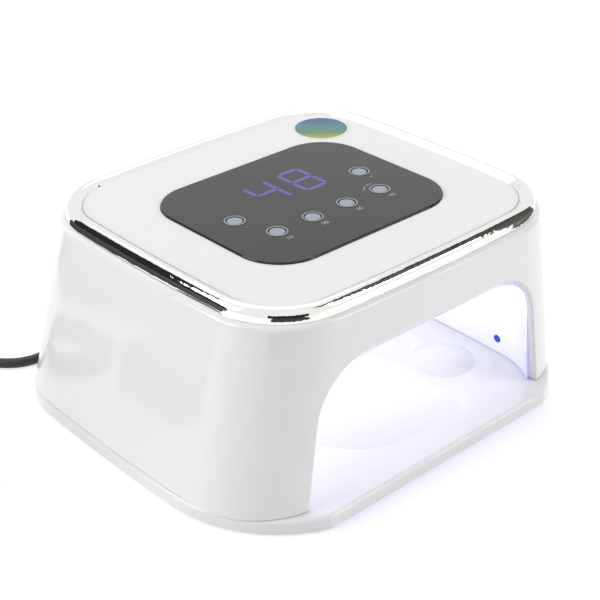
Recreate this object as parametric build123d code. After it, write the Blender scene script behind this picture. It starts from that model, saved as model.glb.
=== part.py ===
from build123d import *
import math
import os

# A curing lamp for gel nails: a hollow lamp head with a hand opening stands on a loose tray.
# Millimetres. +Z is up, the hand opening faces -Y, and z = 0 is the surface that it stands on.

# --- Driving sizes: tray ---
tray_half_width = 113.3
tray_front = -100.75
tray_back = 100.75
tray_front_radius = 65.0
tray_front_overrun = 5.6        # how far the round front corners would reach past the straight lip
tray_back_radius = 42.0
tray_skin = 2.4
tray_rim = 6.8
tray_edge_round = 2.0
lip_corner_round = 3.5
foot_stand = 1.2                # rubber showing below the rim
foot_radius = 7.0
foot_sink = 0.8
foot_wall = 1.5
foot_play = 0.1
foot_edge_round = 0.5
palm_rest = (44.0, 7.0)         # base radius and rise of the low dome under the palm
palm_rest_y = -40.0
thumb_rest = (17.0, 4.6)
thumb_rest_place = (57.0, -46.5)
tray_ribs = (-60.0, 0.0, 60.0)
tray_rib_width = 1.8
tray_rib_clear = 1.5            # between the surface's edge line and a rib's or boss's lower end
foot_place = (88.0, 74.0)

# --- Driving sizes: lamp head shell ---
seam_gap = 0.4                  # between the head's foot and the tray
foot_half_width = 112.5
foot_front = -94.75
foot_back = 100.3
foot_corner = 42.0
top_half_width = 96.6
top_front = -92.4
top_back = 84.6
top_corner = 39.0
head_top = 98.0
side_bow = 1250.0               # radius of the barely bowed sides and ends
shell_wall = 3.0
shoulder_round = 2.6

# --- Driving sizes: arch in the front wall ---
arch_foot_half = 76.3
arch_top_half = 66.3
arch_top = 75.5
arch_corner = 30.0
lip_width = 2.6
lip_back = -87.8
lip_round = 1.2

# --- Driving sizes: inner liner ---
liner_half_width = 86.0
liner_top_half_width = 80.0
liner_overrun = 104.0           # where its round front corners would end, forward of the mouth
liner_back = 82.0
liner_corner = 40.0
liner_top = 75.0
liner_shoulder = 26.0
liner_wall = 2.0
mouth_gap = 0.2                 # between the shell's lip and the liner's flange
flange_thickness = 2.0
flange_overlap = 2.2

# --- Driving sizes: top ---
ring_inset = 2.3
ring_width = 8.0
ring_crown = 1.8                # above the plate
ring_crest = 0.38               # where its crest lies, as a share of its width from the plate
ring_edge = 0.3                 # upright edge of its foot and step down at its inner edge
plate_thickness = 4.6
plate_clearance = 0.15
plate_edge_round = 0.5
plate_screw_skin = 1.2          # plate left above a screw hole
plate_screw_bite = 3.0
ledge_width = 8.0
panel_width = 118.2
panel_depth = 95.8
panel_corner = 22.8
panel_y = -4.85
panel_proud = 1.0
lens_thickness = 2.6
gasket_thickness = 0.3
gasket_width = 7.0
gasket_inset = 0.6
gasket_lip = 0.2                # past the pocket's edge
lens_edge_round = 0.6
pocket_clearance = 0.25
badge_radius = 14.5
badge_place = (65.0, 51.75)
badge_thickness = 0.25

# --- Driving sizes: keys and display ---
key_radius = 3.75
key_gap = 0.55                  # between a key and the ring around it
bezel_wall = 0.65
bezel_flange = 0.15
bezel_rise = 0.2
bezel_play = 0.05
key_travel = 0.5
key_play = 0.05                 # under the panel, so that the flange only just clears it
key_proud = 0.1
key_edge_round = 0.3
stem_depth = 1.0                # how far a stem stands in its switch
stem_end_gap = 0.3              # left below the stem at full travel
key_stem_radius = 1.7
stem_clearance = 0.3
key_flange_step = 1.25          # beyond the cap, under the ring
key_flange_thickness = 1.0
row_y = -23.6
row_half_span = 32.7
side_key_x = 39.8
side_key_y = -2.4
switch_size = 6.0
switch_height = 3.5
board_thickness = 1.6
control_board_size = (138.0, 80.0)
control_post_inset = 4.5
control_screw_length = 6.5
# Chips under the control board: place from the panel's centre, width, depth and height
chips = [(0, 8, 10, 10, 1.6), (26, 6, 7, 5, 1.8), (-28, 10, 5, 4, 1.4), (-20, -12, 8, 6, 2.0)]
chip_row = [(42, -6 + 6 * i, 3, 2, 1.1) for i in range(4)]
control_board_drop = 8.0        # below the head's top face
digit_height = 24.0
digit_width = 14.9
digit_pitch = 22.0
digit_centre = (2.1, 10.1)
segment_width = 2.3
segment_gap = 0.35
digit_thickness = 0.4
module_size = (50.0, 27.0)
module_gap = 0.9                # air under the lens

# --- Driving sizes: light and sensing ---
led_radius = 2.5
led_clearance = 0.3
led_reach = 1.2                 # beyond the liner's inner face
board_stand = 1.0               # between the liner and a light board
ceiling_led_pitch = (30.0, 34.0)
ceiling_leds = (4, 3)
ceiling_board_size = (108.0, 88.0)
ceiling_centre_y = -4.0
led_board_margin = (16.0, 12.0)
led_dome = 0.7                  # share of the radius that rounds a light's tip
side_led_places = (-44.0, -4.0, 36.0)
led_rows = (30.0, 47.0)
rear_led_places = (-36.0, 0.0, 36.0)
sensor_radius = 2.0
sensor_place = (-61.0, 16.5)
sensor_reach = 0.9
sensor_board_size = (14.0, 9.0)

# --- Driving sizes: power, fixings and feet ---
screw_radius = 1.25
screw_head_radius = 2.6
screw_head_height = 1.7
screw_slot = (2.6, 0.7, 0.9)    # the cross recess: length, width and depth
screw_play = 0.2                # round a shank that passes through
head_play = 0.3                 # round a sunk screw head
post_radius = 3.6
frame_thickness = 3.0
fit_gap = 0.4
boss_top = 46.0                 # upper end of the bosses for the foot frame's screws
boss_bite = 1.6                 # how far a boss's centre stands off the shell's inner face
boss_hole_top = 30.0
side_boss_y = (-34.0, 20.0)
rear_boss_x = 48.0
frame_screw_length = 9.0
plate_screw_y = 46.0
magnet_radius = 5.0
magnet_height = 2.0
magnet_play = 0.1
magnet_wall = 2.0
magnet_y = 58.0
power_board_size = (84.0, 34.0)
power_board_y = 84.5            # its face towards the liner
power_board_lift = 1.4          # above the foot frame
power_post_inset = 4.0
power_post_radius = 3.0
power_screw_bite = 4.0          # how far its screws go into the posts
# On the power board, from its centre: round parts (place, radius, height) and blocks (place, sizes)
capacitors = [(28, 4, 3.5, 3.6), (16, 4, 3.5, 3.6), (4, 8, 2.5, 3.2)]
power_blocks = [(-14, 6, 10, 10, 3.2), (-29, 6, 7, 6, 2.0), (22, -9, 8, 6, 2.0)]
jack_x = 0.0
jack_z = 18.5
jack_collar_radius = 5.6
jack_collar_proud = 0.6
jack_block = (10.4, 12.0)
jack_wall = 1.0                 # material and air between the socket's parts
jack_pin_radius = 1.0
plug_bore_radius = 1.25
plug_play = 0.15
plug_seat = 0.3                 # between the socket's collar and the plug's grip
plug_round = 2.0
plug_radius = 2.75
wire_radius = 0.8
wire_bend = 2.5
wire_place = (20.0, 17.6)
wire_pitch = 2.4
wire_count = 3
wire_jog = 10.0
plug_body = (20.0, 11.0, 10.0)  # the right-angle grip's length along the wall, depth and height
plug_body_past = 6.0            # how far the grip reaches past the barrel's axis
relief_length = 20.0
relief_radius = 3.9             # the sleeve's thick end
relief_wall = 0.5               # the sleeve's wall round the cord at its thin end

# --- Driving sizes: cord and wall adaptor ---
cord_diameter = 5.2
lead_length = 1200.0
coil_centre = (-163.0, 136.0)
coil_mean_radius = 30.9
coil_entry_angle = 30.0         # degrees round the coil, where the lead runs into its outer turn
coil_wide = 3
coil_high = 2
coil_slack = 0.2
coil_stand = 0.05
tie_side = 0.7
tie_wall = 0.3
tie_play = 0.1
tie_width = 8.0
tie_turn = 118.0                # degrees round the coil
adaptor_size = (42.0, 60.0, 28.0)
adaptor_round = 5.0
adaptor_gap = 27.0
adaptor_relief_length = 20.0
adaptor_relief_wall = 1.6
adaptor_exit_z = 9.0
pin_size = (1.6, 17.0, 6.3)
pin_pitch = 12.7
pin_round = 1.5

# Worked out from the sizes above
tray_top = foot_stand + tray_rim
foot_z = tray_top + seam_gap
plate_top = head_top + plate_thickness
lens_top = plate_top + panel_proud
lens_bottom = lens_top - lens_thickness
pocket_floor = lens_bottom - gasket_thickness
liner_foot = foot_z + 0.2
cord_radius = cord_diameter / 2
control_board_top = head_top - control_board_drop
switch_top = control_board_top + switch_height
beyond = 50.0                   # how far a cutting form reaches past what it cuts


def write(name, shape):
    """Writes one named sub-part."""
    export_step(shape, os.path.join("parts", name + ".step"))


def group(solids):
    """Separate like solids kept under one name."""
    return Compound(children=list(solids))


def corner_arc(side_centre, side_radius, end_centre, end_radius, corner):
    """Ends and middle of the arc of radius corner that is tangent inside two large arcs."""
    apart = end_centre - side_centre
    first = side_radius - corner
    second = end_radius - corner
    along = (first**2 - second**2 + apart.length**2) / (2 * apart.length)
    across = math.sqrt(first**2 - along**2)
    unit = apart.normalized()
    foot = side_centre + unit * along
    options = [foot + Vector(-unit.Y, unit.X) * across, foot - Vector(-unit.Y, unit.X) * across]
    centre = max(options, key=lambda p: p.X)
    start = side_centre + (centre - side_centre).normalized() * side_radius
    end = end_centre + (centre - end_centre).normalized() * end_radius
    middle = centre + ((start - centre) + (end - centre)).normalized() * corner
    return start, middle, end


def outline(half_width, front, back, front_corner, back_corner, z, inset=0.0):
    """A rectangle with barely bowed sides and round corners, as a face at height z, inset all round."""
    bow = side_bow - inset
    middle = (front + back) / 2
    side = Vector(half_width - side_bow, middle)
    rear = Vector(0, back - side_bow)
    fore = Vector(0, -front - side_bow)
    a0, a1, a2 = corner_arc(side, bow, rear, bow, back_corner - inset)
    flipped = Vector(side.X, -side.Y)
    b0, b1, b2 = corner_arc(flipped, bow, fore, bow, front_corner - inset)
    b0, b1, b2 = (Vector(p.X, -p.Y) for p in (b0, b1, b2))
    left = [Vector(-p.X, p.Y) for p in (a0, a1, a2, b0, b1, b2)]
    edges = [
        ThreePointArc(b0, Vector(half_width - inset, middle), a0),
        ThreePointArc(a0, a1, a2),
        ThreePointArc(a2, Vector(0, back - inset), left[2]),
        ThreePointArc(left[2], left[1], left[0]),
        ThreePointArc(left[0], Vector(inset - half_width, middle), left[3]),
        ThreePointArc(left[3], left[4], left[5]),
        ThreePointArc(left[5], Vector(0, front + inset), b2),
        ThreePointArc(b2, b1, b0),
    ]
    return Pos(0, 0, z) * make_face(edges)


def between(low, high, share):
    """The value a share of the way from low to high."""
    return low + (high - low) * share


def head_section(z, inset=0.0):
    """The lamp head's outline at height z."""
    share = (z - foot_z) / (head_top - foot_z)
    return outline(
        between(foot_half_width, top_half_width, share),
        between(foot_front, top_front, share),
        between(foot_back, top_back, share),
        between(foot_corner, top_corner, share),
        between(foot_corner, top_corner, share),
        z,
        inset,
    )


def head_half_width(z):
    """The head's outer half width at height z."""
    return between(foot_half_width, top_half_width, (z - foot_z) / (head_top - foot_z))


def head_back(z):
    """The head's outer back at height z."""
    return between(foot_back, top_back, (z - foot_z) / (head_top - foot_z))


def top_outline(z, inset):
    """The head's top outline, moved in by inset, at height z."""
    return outline(top_half_width, top_front, top_back, top_corner, top_corner, z, inset)


def liner_half(z):
    """The liner's outer half width at height z, below its rounded shoulder."""
    return between(liner_half_width, liner_top_half_width, (z - liner_foot) / (liner_top - liner_foot))


def liner_section(z, inset=0.0):
    """The liner's outline at height z, with round front corners that the mouth cuts off."""
    half = liner_half(z)
    lean = liner_half_width - half
    return outline(half, -liner_overrun, liner_back - lean, liner_corner, liner_corner, z, inset)


def liner_block(inset):
    """The liner's form, moved in by inset and open below, with a round shoulder."""
    low = liner_foot if inset == 0 else liner_foot - 2.0
    body = loft([liner_section(low, inset), liner_section(liner_top - inset, inset)])
    rim = body.faces().sort_by(Axis.Z)[-1].edges()
    return fillet(rim, liner_shoulder - inset)


def slab(width, depth, low, high, x=0.0, y=0.0):
    """A plain block between two heights."""
    return Pos(x, y, low) * extrude(Rectangle(width, depth), high - low)


def post(radius, low, high, x, y):
    """An upright round bar between two heights."""
    return Pos(x, y, low) * extrude(Circle(radius), high - low)


def bar_back(radius, front, back, x, z):
    """A round bar along Y between two depths."""
    return Pos(0, back, 0) * extrude(Plane.XZ * Pos(x, z) * Circle(radius), back - front)


def arch_profile(grow):
    """The hand opening's outline in the front wall, grown by a margin, on the XZ plane."""
    low = foot_z - 20.0
    lean = (arch_foot_half - arch_top_half) / (arch_top - foot_z)
    foot = arch_foot_half + lean * (foot_z - low) + grow
    points = [(-foot, low), (-arch_top_half - grow, arch_top + grow)]
    points += [(arch_top_half + grow, arch_top + grow), (foot, low)]
    corner = arch_corner + grow
    path = FilletPolyline(*points, radius=corner)
    return Plane.XZ * make_face([*path.edges(), Line(points[-1], points[0])])


def arch_block(grow, front, back):
    """The hand opening's form from front to back."""
    return Pos(0, back, 0) * extrude(arch_profile(grow), back - front)


def keys():
    """Each key's name and place."""
    step = 2 * row_half_span / 3
    row = [(f"key_row_{i + 1}", -row_half_span + i * step, row_y) for i in range(4)]
    return [("key_left", -side_key_x, side_key_y), *row, ("key_right", side_key_x, side_key_y)]


def corners(half_x, half_y, x=0.0, y=0.0):
    """Four places round a centre."""
    return [(x + a * half_x, y + b * half_y) for a in (-1, 1) for b in (-1, 1)]


def before(y):
    """A large block that fills everything in front of y, to cut a form off there."""
    deep = 4 * beyond
    return Pos(0, y - deep / 2, 0) * Box(8 * beyond, deep, 8 * beyond)


def screw(length):
    """A screw that points up, its head's top face at the origin and its head below."""
    shank = extrude(Circle(screw_radius), length)
    head = Pos(0, 0, -screw_head_height) * extrude(Circle(screw_head_radius), screw_head_height)
    long, wide, deep = screw_slot
    cross = Rectangle(long, wide) + Rectangle(wide, long)
    recess = Pos(0, 0, -screw_head_height) * extrude(cross, deep)
    return shank + head - recess


# --- Tray ---
foot_places = corners(*foot_place)
magnet_places = corners(liner_half_width + (foot_half_width - shell_wall - liner_half_width) / 2, magnet_y)


def tray():
    """The loose tray: a hollow plate with a straight front lip, a palm rest and two thumb rests."""
    shape = outline(
        tray_half_width, tray_front - tray_front_overrun, tray_back,
        tray_front_radius, tray_back_radius, foot_stand,
    )
    body = extrude(shape, tray_rim)
    body -= before(tray_front)
    lip = [e for e in body.edges().filter_by(Axis.Z) if e.center().Y < tray_front + 1]
    body = fillet(lip, lip_corner_round)
    body = fillet(body.faces().sort_by(Axis.Z)[-1].edges(), tray_edge_round)
    hollow = outline(
        tray_half_width, tray_front - tray_front_overrun, tray_back,
        tray_front_radius, tray_back_radius, foot_stand - 1, 2 * tray_skin,
    )
    hollow = extrude(hollow, tray_rim + 1 - tray_skin)
    hollow -= before(tray_front + 2 * tray_skin)
    body -= hollow
    rib_low = foot_stand + tray_rib_clear
    for x in tray_ribs:
        body += slab(tray_rib_width, tray_back - tray_front - 4 * tray_skin, rib_low, tray_top - 1, x)
    for x, y in foot_places:
        body += post(foot_radius + foot_wall, foot_stand, tray_top - 1, x, y)
        body -= post(foot_radius + foot_play, foot_stand - 1, foot_stand + foot_sink, x, y)
    for x, y in magnet_places:
        body += post(magnet_radius + magnet_wall, rib_low, tray_top - 1, x, y)
        body -= post(magnet_radius + magnet_play, tray_top - magnet_height - magnet_play, tray_top + 1, x, y)
    rests = [(0.0, palm_rest_y, palm_rest)]
    rests += [(side * thumb_rest_place[0], thumb_rest_place[1], thumb_rest) for side in (-1, 1)]
    for x, y, (base, rise) in rests:
        ball = (base**2 + rise**2) / (2 * rise)
        cap = Pos(x, y, tray_top + rise - ball) * Sphere(ball)
        body += cap - Pos(x, y, tray_top - 1 - ball) * Box(2 * ball, 2 * ball, 2 * ball)
    return body.solids().sort_by(SortBy.VOLUME)[-1]


# --- Lamp head: casings ---
boss_x = head_half_width(boss_top) - shell_wall - boss_bite
frame_screws = [(side * boss_x, y) for side in (-1, 1) for y in side_boss_y]
frame_screws += [(side * rear_boss_x, head_back(boss_top) - shell_wall - boss_bite) for side in (-1, 1)]
plate_screw_places = corners(
    top_half_width - ring_inset - ring_width - ledge_width / 2, plate_screw_y, 0, (top_front + top_back) / 2
)
power_board_z = liner_foot + frame_thickness + power_board_lift + power_board_size[1] / 2
power_post_places = corners(
    power_board_size[0] / 2 - power_post_inset, power_board_size[1] / 2 - power_post_inset, 0, power_board_z
)


def arch_edge(point):
    """Whether a point lies on the front edge of the arch, above its feet."""
    inside = abs(point.X) < arch_foot_half + 1 and foot_z + 1 < point.Z < arch_top + 1
    return inside and point.Y < top_front


def outer_housing():
    """The glossy outer shell, with the arch, its rolled lip, the top opening and its posts."""
    body = loft([head_section(foot_z), head_section(head_top)])
    body = fillet(body.faces().sort_by(Axis.Z)[-1].edges(), shoulder_round)
    inner = loft([head_section(foot_z - 0.01, shell_wall), head_section(head_top - shell_wall, shell_wall)])
    ahead = foot_front - beyond
    lip = (arch_block(lip_width, ahead, lip_back) - arch_block(0, ahead - 1, lip_back + 1)) & body
    shell = body - inner + lip
    shell -= arch_block(0, ahead, lip_back + 10)
    shell -= Pos(0, 0, -5) * extrude(top_outline(head_top, ring_inset + ring_width + ledge_width), 10)
    for x, y in plate_screw_places:
        shell -= post(screw_radius + screw_play, head_top - 10, head_top + 10, x, y)
    for x, y in frame_screws:
        boss = post(post_radius, liner_foot + frame_thickness + fit_gap, boss_top, x, y)
        shell += boss - post(screw_radius, 0, boss_hole_top, x, y)
    post_start = power_board_y + board_thickness
    for x, z in power_post_places:
        bar = bar_back(power_post_radius, post_start, foot_back, x, z)
        shell += (bar & body) - bar_back(screw_radius, power_board_y, post_start + power_screw_bite, x, z)
    shell -= bar_back(jack_collar_radius + 0.1, foot_back - 9, foot_back + 5, jack_x, jack_z)
    edge = [e for e in shell.edges() if arch_edge(e.center())]
    shell = fillet(edge, lip_round)
    return shell.solids().sort_by(SortBy.VOLUME)[-1]


def liner():
    """The white reflector inside: a hollow with a mouth flange, light holes and sensor holes."""
    flange_front = lip_back + mouth_gap
    shell = liner_block(0)
    shell -= before(flange_front)
    flange = arch_block(flange_overlap, flange_front, flange_front + flange_thickness)
    room = shell_wall + mouth_gap
    flange &= loft([head_section(liner_foot, room), head_section(head_top - room, room)])
    shell = shell + flange - liner_block(liner_wall)
    for board in led_boards():
        for spot in board["spots"]:
            hole = Cylinder(led_radius + led_clearance, beyond)
            shell -= board["plane"] * Pos(spot[0], spot[1], 0) * hole
    for side in (-1, 1):
        shell -= sensor_plane(side) * Cylinder(sensor_radius + led_clearance, beyond)
    return shell.solids().sort_by(SortBy.VOLUME)[-1]


def led_boards():
    """Each light board: the plane of its face towards the liner, its size and its light places."""
    slope = math.degrees(math.atan2(liner_half_width - liner_top_half_width, liner_top - liner_foot))
    nx, ny = ceiling_leds
    px, py = ceiling_led_pitch
    grid = [((i - (nx - 1) / 2) * px, (j - (ny - 1) / 2) * py) for i in range(nx) for j in range(ny)]
    ceiling = Plane(origin=(0, ceiling_centre_y, liner_top + board_stand), x_dir=(1, 0, 0), z_dir=(0, 0, 1))
    boards = [dict(name="ceiling", plane=ceiling, size=ceiling_board_size, spots=grid)]
    middle = sum(led_rows) / 2
    lean = math.radians(slope)
    spots = [(y - ceiling_centre_y, z - middle) for y in side_led_places for z in led_rows]
    long, high = led_board_margin
    size = (side_led_places[-1] - side_led_places[0] + long, led_rows[-1] - led_rows[0] + high)
    for side, name in ((-1, "left"), (1, "right")):
        out = Vector(side * math.cos(lean), 0, math.sin(lean))
        x = side * (liner_half(middle) + board_stand)
        plane = Plane(origin=(x, ceiling_centre_y, middle), x_dir=(0, side, 0), z_dir=out)
        boards.append(dict(name=name, plane=plane, size=size, spots=[(side * u, v) for u, v in spots]))
    rear_y = liner_back - (liner_half_width - liner_half(middle)) + board_stand
    out = Vector(0, math.cos(lean), math.sin(lean))
    plane = Plane(origin=(0, rear_y, middle), x_dir=(-1, 0, 0), z_dir=out)
    spots = [(x, z - middle) for x in rear_led_places for z in led_rows]
    size = (rear_led_places[-1] - rear_led_places[0] + long, size[1])
    boards.append(dict(name="rear", plane=plane, size=size, spots=spots))
    return boards


def sensor_plane(side):
    """Where a hand sensor's axis crosses the liner's outer face, pointing out."""
    y, z = sensor_place
    return Plane(origin=(side * liner_half(z), y, z), x_dir=(0, 1, 0), z_dir=(side, 0, 0))


def light_board(board):
    """A flat circuit board behind the liner."""
    return board["plane"] * extrude(Rectangle(*board["size"]), board_thickness)


def lights(board):
    """The domed lights of one board, which reach through the liner."""
    reach = board_stand + liner_wall + led_reach
    for spot in board["spots"]:
        lamp = Pos(0, 0, -reach) * extrude(Circle(led_radius), reach)
        lamp = fillet(lamp.faces().sort_by(Axis.Z)[0].edges(), led_radius * led_dome)
        yield board["plane"] * Pos(spot[0], spot[1], 0) * lamp


def sensors():
    """The pair of hand sensors that look across the mouth."""
    for side in (-1, 1):
        reach = liner_wall + sensor_reach
        yield sensor_plane(side) * Pos(0, 0, -reach) * extrude(Circle(sensor_radius), reach + board_stand)


def sensor_boards():
    """A small board behind each hand sensor."""
    for side in (-1, 1):
        flat = extrude(Rectangle(*sensor_board_size), board_thickness)
        yield sensor_plane(side) * Pos(0, 0, board_stand) * flat


def foot_frame():
    """The U-shaped plate that closes the head from below, between the shell and the liner."""
    high = head_section(liner_foot + frame_thickness, shell_wall + fit_gap)
    body = Pos(0, 0, -frame_thickness) * extrude(high, frame_thickness)
    body -= Pos(0, 0, -1) * extrude(liner_section(liner_foot, -fit_gap), frame_thickness + 2)
    body -= before(lip_back + mouth_gap + flange_thickness + fit_gap)
    for x, y in frame_screws:
        body -= post(screw_radius + screw_play, 0, boss_top, x, y)
        body -= post(screw_head_radius + head_play, 0, liner_foot + screw_head_height, x, y)
    for x, y in magnet_places:
        body -= post(magnet_radius + magnet_play, 0, liner_foot + magnet_height, x, y)
    return body.solids().sort_by(SortBy.VOLUME)[-1]


# --- Lamp head: top ---
def trim_ring():
    """The bright ring round the top plate, a bulging section swept along its inner edge."""
    path = top_outline(head_top, ring_inset + ring_width).wire()
    start = path @ 0
    along = path % 0
    out = along.cross(Vector(0, 0, 1))
    if out.dot(start) < 0:
        out = -out
    section = Plane(origin=start, x_dir=out, z_dir=out.cross(Vector(0, 0, 1)))
    high = plate_thickness
    crown = high + ring_crown
    foot, top = (ring_width, ring_edge), (0, high - ring_edge)
    inner = Line((0, 0), top)
    curve = Spline(top, (ring_width * ring_crest, crown), foot, tangents=[(1, 0.8), (0, -1)])
    outer = Line(foot, (ring_width, 0))
    under = Line((ring_width, 0), (0, 0))
    face = section * make_face([inner, curve, outer, under])
    return sweep(face, path=path)


def panel_shape(inset, low, high):
    """The control panel's rounded outline, inset, between two heights."""
    flat = RectangleRounded(panel_width - 2 * inset, panel_depth - 2 * inset, panel_corner - inset)
    return Pos(0, panel_y, low) * extrude(flat, high - low)


control_posts = corners(
    control_board_size[0] / 2 - control_post_inset, control_board_size[1] / 2 - control_post_inset, 0, panel_y
)


def top_plate():
    """The white plate inside the ring, with a pocket for the panel and posts for its board."""
    inset = ring_inset + ring_width + plate_clearance
    body = extrude(top_outline(head_top, inset), plate_thickness)
    body = fillet(body.faces().sort_by(Axis.Z)[-1].edges(), plate_edge_round)
    body -= panel_shape(-pocket_clearance, pocket_floor, plate_top + 1)
    body -= panel_shape(gasket_width, head_top - 1, plate_top + 1)
    for x, y in control_posts:
        body += post(post_radius, control_board_top, head_top + 1, x, y)
        body -= post(screw_radius, control_board_top, control_board_top + control_screw_length - 0.5, x, y)
    for x, y in plate_screw_places:
        body -= post(screw_radius, head_top, plate_top - plate_screw_skin, x, y)
    return body


def panel_gasket():
    """The thin frame of adhesive foam that seals the panel into its pocket."""
    hole = panel_shape(gasket_width - gasket_lip, pocket_floor - 1, lens_bottom + 1)
    return panel_shape(gasket_inset, pocket_floor, lens_bottom) - hole


bezel_inner = key_radius + key_gap
bezel_outer = bezel_inner + bezel_wall


def panel_lens():
    """The smoked panel, with a hole for each key's ring."""
    body = panel_shape(0, lens_bottom, lens_top)
    body = fillet(body.faces().sort_by(Axis.Z)[-1].edges(), lens_edge_round)
    for _, x, y in keys():
        body -= post(bezel_outer + bezel_play, lens_bottom - 1, lens_top + 1, x, y)
    return body


def key_bezels():
    """The pale ring round each key, with a thin flange on the panel."""
    for _, x, y in keys():
        ring = post(bezel_outer, lens_bottom, lens_top, x, y)
        flange = post(bezel_outer + bezel_flange, lens_top, lens_top + bezel_rise, x, y)
        yield ring + flange - post(bezel_inner, lens_bottom - 1, lens_top + 1, x, y)


def key(x, y):
    """One push key: a round cap, a flange that the panel holds down, and a stem into its switch."""
    cap_low = lens_bottom - key_play
    body = post(key_radius, cap_low - key_flange_thickness, lens_top + key_proud, x, y)
    body = fillet(body.faces().sort_by(Axis.Z)[-1].edges(), key_edge_round)
    body += post(key_radius + key_flange_step, cap_low - key_flange_thickness, cap_low, x, y)
    body += post(key_stem_radius, switch_top - stem_depth, cap_low - key_flange_thickness / 2, x, y)
    return body


def switches():
    """A tact switch under each key, with a well for the stem."""
    floor = switch_top - stem_depth - key_travel - stem_end_gap
    for _, x, y in keys():
        well = post(key_stem_radius + stem_clearance, floor, switch_top + 1, x, y)
        yield slab(switch_size, switch_size, control_board_top, switch_top, x, y) - well


def control_board():
    """The board under the panel."""
    low = control_board_top - board_thickness
    body = slab(*control_board_size, low, control_board_top, 0, panel_y)
    for x, y in control_posts:
        body -= post(screw_radius + screw_play, low - 1, control_board_top + 1, x, y)
    return body


def control_chips():
    """The controller, a regulator and small parts on the underside of the control board."""
    top = control_board_top - board_thickness
    for x, y, wide, deep, high in chips + chip_row:
        yield slab(wide, deep, top - high, top, x, panel_y + y)


def control_screws():
    """The screws that hold the control board to the top plate."""
    for x, y in control_posts:
        yield Pos(x, y, control_board_top - board_thickness) * screw(control_screw_length)


def plate_screws():
    """The screws that hold the top plate to the shell's ledge."""
    for x, y in plate_screw_places:
        yield Pos(x, y, head_top - shell_wall) * screw(shell_wall + plate_screw_bite)


def display_module():
    """The black block behind the digits."""
    top = lens_bottom - module_gap
    x, y = digit_centre
    return slab(*module_size, control_board_top, top, x, y)


def segment(length):
    """One bar of a digit, with pointed ends."""
    half, wide = length / 2, segment_width / 2
    points = [(-half, 0), (wide - half, wide), (half - wide, wide), (half, 0)]
    points += [(half - wide, -wide), (wide - half, -wide)]
    return make_face(Polyline(*points, close=True))


def display_digits():
    """The lit bars of the two digits, 4 and 8."""
    across = digit_width - segment_width
    up = (digit_height - segment_width) / 2
    bars = dict(
        a=(0, up, 0), g=(0, 0, 0), d=(0, -up, 0), f=(-across / 2, up / 2, 90),
        b=(across / 2, up / 2, 90), e=(-across / 2, -up / 2, 90), c=(across / 2, -up / 2, 90),
    )
    low = lens_bottom - module_gap
    for place, lit in ((-1, "bcfg"), (1, "abcdefg")):
        for name in lit:
            x, y, turn = bars[name]
            length = (up if turn else across) - 2 * segment_gap
            bar = Rot(0, 0, turn) * segment(length)
            centre = (digit_centre[0] + place * digit_pitch / 2 + x, digit_centre[1] + y)
            yield Pos(*centre, low) * extrude(bar, digit_thickness)


def round_badge():
    """The round sticker on the plate's rear corner."""
    return post(badge_radius, plate_top, plate_top + badge_thickness, *badge_place)


# --- Lamp head: power ---
def power_board():
    """The upright board at the back, which carries the power socket."""
    flat = Plane.XZ * Pos(0, power_board_z) * Rectangle(*power_board_size)
    for x, z in power_post_places:
        flat -= Plane.XZ * Pos(x, z) * Circle(screw_radius + screw_play)
    return Pos(0, power_board_y + board_thickness, 0) * extrude(flat, board_thickness)


def power_parts():
    """Capacitors, a coil and switching parts on the power board."""
    back = power_board_y + board_thickness
    for x, z, radius, high in capacitors:
        yield bar_back(radius, back, back + high, x, power_board_z + z)
    for x, z, wide, high, deep in power_blocks:
        bar = Plane.XZ * Pos(x, power_board_z + z) * Rectangle(wide, high)
        yield Pos(0, back + deep, 0) * extrude(bar, deep)


def power_screws():
    """The screws that hold the power board to the shell's posts."""
    for x, z in power_post_places:
        plane = Plane(origin=(x, power_board_y, z), x_dir=(1, 0, 0), z_dir=(0, 1, 0))
        yield plane * screw(board_thickness + power_screw_bite - head_play)


jack_face = head_back(jack_z) + jack_collar_proud
jack_back = power_board_y + board_thickness
plug_end = jack_x + plug_body_past - plug_body[0]
plug_axis_y = jack_face + plug_seat + plug_body[1] / 2
relief_end = plug_end - relief_length


def dc_jack():
    """The power socket: a block on the board, a round nose through the shell and a centre pin."""
    nose_start = head_back(jack_z + jack_collar_radius) - shell_wall - jack_wall
    wide, high = jack_block
    middle = (nose_start + jack_back) / 2
    body = slab(wide, nose_start - jack_back, jack_z - high / 2, jack_z + high / 2, jack_x, middle)
    body += bar_back(jack_collar_radius, nose_start - 0.01, jack_face, jack_x, jack_z)
    bore_end = jack_back + 1.8 * jack_wall
    body -= bar_back(plug_radius + plug_play, bore_end, jack_face + 1, jack_x, jack_z)
    pin = bar_back(jack_pin_radius, bore_end - 0.8 * jack_wall, jack_face - 1.5 * jack_wall, jack_x, jack_z)
    return body + pin


def dc_plug():
    """The plug on the lead: a metal barrel in the socket and a right-angle grip along the wall."""
    tip = jack_back + 2.2 * jack_wall
    barrel = bar_back(plug_radius, tip, jack_face + 1, jack_x, jack_z)
    barrel -= bar_back(plug_bore_radius, tip - 2, jack_face - 1, jack_x, jack_z)
    grip = Pos(plug_end + plug_body[0] / 2, plug_axis_y, jack_z) * Box(*plug_body)
    return barrel + fillet(grip.edges(), plug_round)


def taper(low_radius, high_radius, length):
    """A tapering sleeve that stands on the XY plane."""
    return Pos(0, 0, length / 2) * Cone(low_radius, high_radius, length)


def plug_relief():
    """The soft tapering sleeve on the lead behind the plug."""
    plane = Plane(origin=(plug_end, plug_axis_y, jack_z), x_dir=(0, 1, 0), z_dir=(-1, 0, 0))
    return plane * taper(relief_radius, cord_radius + relief_wall, relief_length)


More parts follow.
